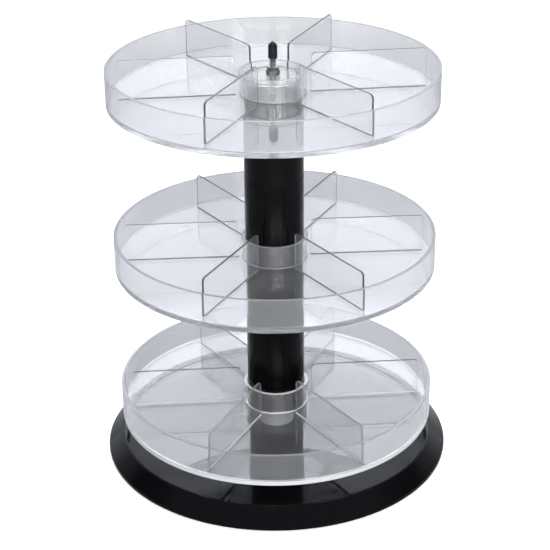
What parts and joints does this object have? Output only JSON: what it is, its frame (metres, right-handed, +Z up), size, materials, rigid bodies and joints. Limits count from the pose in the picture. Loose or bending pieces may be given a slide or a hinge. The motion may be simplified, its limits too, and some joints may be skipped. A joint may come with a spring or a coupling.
{
  "type": "revolving tool caddy",
  "caption": "Revolving countertop caddy: clear round trays with upright dividers, stacked on black columns around a threaded rod in a round black base.",
  "frame": {"origin": "centre of the base, on the surface it stands on", "axes": "+Z up along the rod, +X to the right and +Y away from someone in front of it"},
  "size_m": [0.336, 0.336, 0.4133],
  "materials": {
    "clear_acrylic": "polished clear",
    "clear_hub": "moulded clear",
    "black_gloss": "high gloss",
    "column_black": "satin gloss",
    "plug_black": "matte",
    "base_cover": "fine texture",
    "bush_nylon": "satin",
    "zinc_steel": "zinc plated",
    "nut_steel": "dull steel",
    "screw_steel": "blackened",
    "cap_vinyl": "satin",
    "foot_rubber": "matte"
  },
  "bodies": {
    "base": {"base_shell": "black_gloss", "base_bottom_plate": "base_cover", "plate_screws": "screw_steel", "rubber_feet": "foot_rubber", "pivot_bush": "bush_nylon", "threaded_rod": "zinc_steel", "foot_washer": "zinc_steel", "pivot_washer": "zinc_steel", "foot_nut": "zinc_steel", "pivot_nut": "zinc_steel", "top_nut": "nut_steel", "top_nut_insert": "bush_nylon", "thread_cap": "cap_vinyl"},
    "lower_tier": {"lower_tray_floor": "clear_acrylic", "lower_tray_wall": "clear_acrylic", "lower_hub_collar": "clear_acrylic", "lower_hub_cup": "clear_hub", "lower_divider_1": "clear_acrylic", "lower_divider_2": "clear_acrylic", "lower_divider_3": "clear_acrylic", "lower_divider_4": "clear_acrylic", "lower_divider_5": "clear_acrylic", "lower_divider_6": "clear_acrylic", "lower_column": "column_black", "lower_column_plug": "plug_black"},
    "middle_tier": {"middle_tray_floor": "clear_acrylic", "middle_tray_wall": "clear_acrylic", "middle_hub_collar": "clear_acrylic", "middle_hub_cup": "clear_hub", "middle_divider_1": "clear_acrylic", "middle_divider_2": "clear_acrylic", "middle_divider_3": "clear_acrylic", "middle_divider_4": "clear_acrylic", "middle_divider_5": "clear_acrylic", "middle_divider_6": "clear_acrylic", "upper_column": "column_black", "upper_column_plug": "plug_black"},
    "upper_tier": {"upper_tray_floor": "clear_acrylic", "upper_tray_wall": "clear_acrylic", "upper_hub_collar": "clear_acrylic", "upper_hub_cup": "clear_hub", "upper_divider_1": "clear_acrylic", "upper_divider_2": "clear_acrylic", "upper_divider_3": "clear_acrylic", "upper_divider_4": "clear_acrylic", "upper_divider_5": "clear_acrylic", "upper_divider_6": "clear_acrylic"}
  },
  "joints": [
    {"name": "lower_tier_spin", "type": "hinge", "parent": "base", "child": "lower_tier", "pos_m": [0, 0, 0.0397], "axis": [0, 0, 1], "continuous": true},
    {"name": "middle_tier_spin", "type": "hinge", "parent": "lower_tier", "child": "middle_tier", "pos_m": [0, 0, 0.1967], "axis": [0, 0, 1], "continuous": true},
    {"name": "upper_tier_spin", "type": "hinge", "parent": "middle_tier", "child": "upper_tier", "pos_m": [0, 0, 0.3597], "axis": [0, 0, 1], "continuous": true}
  ]
}
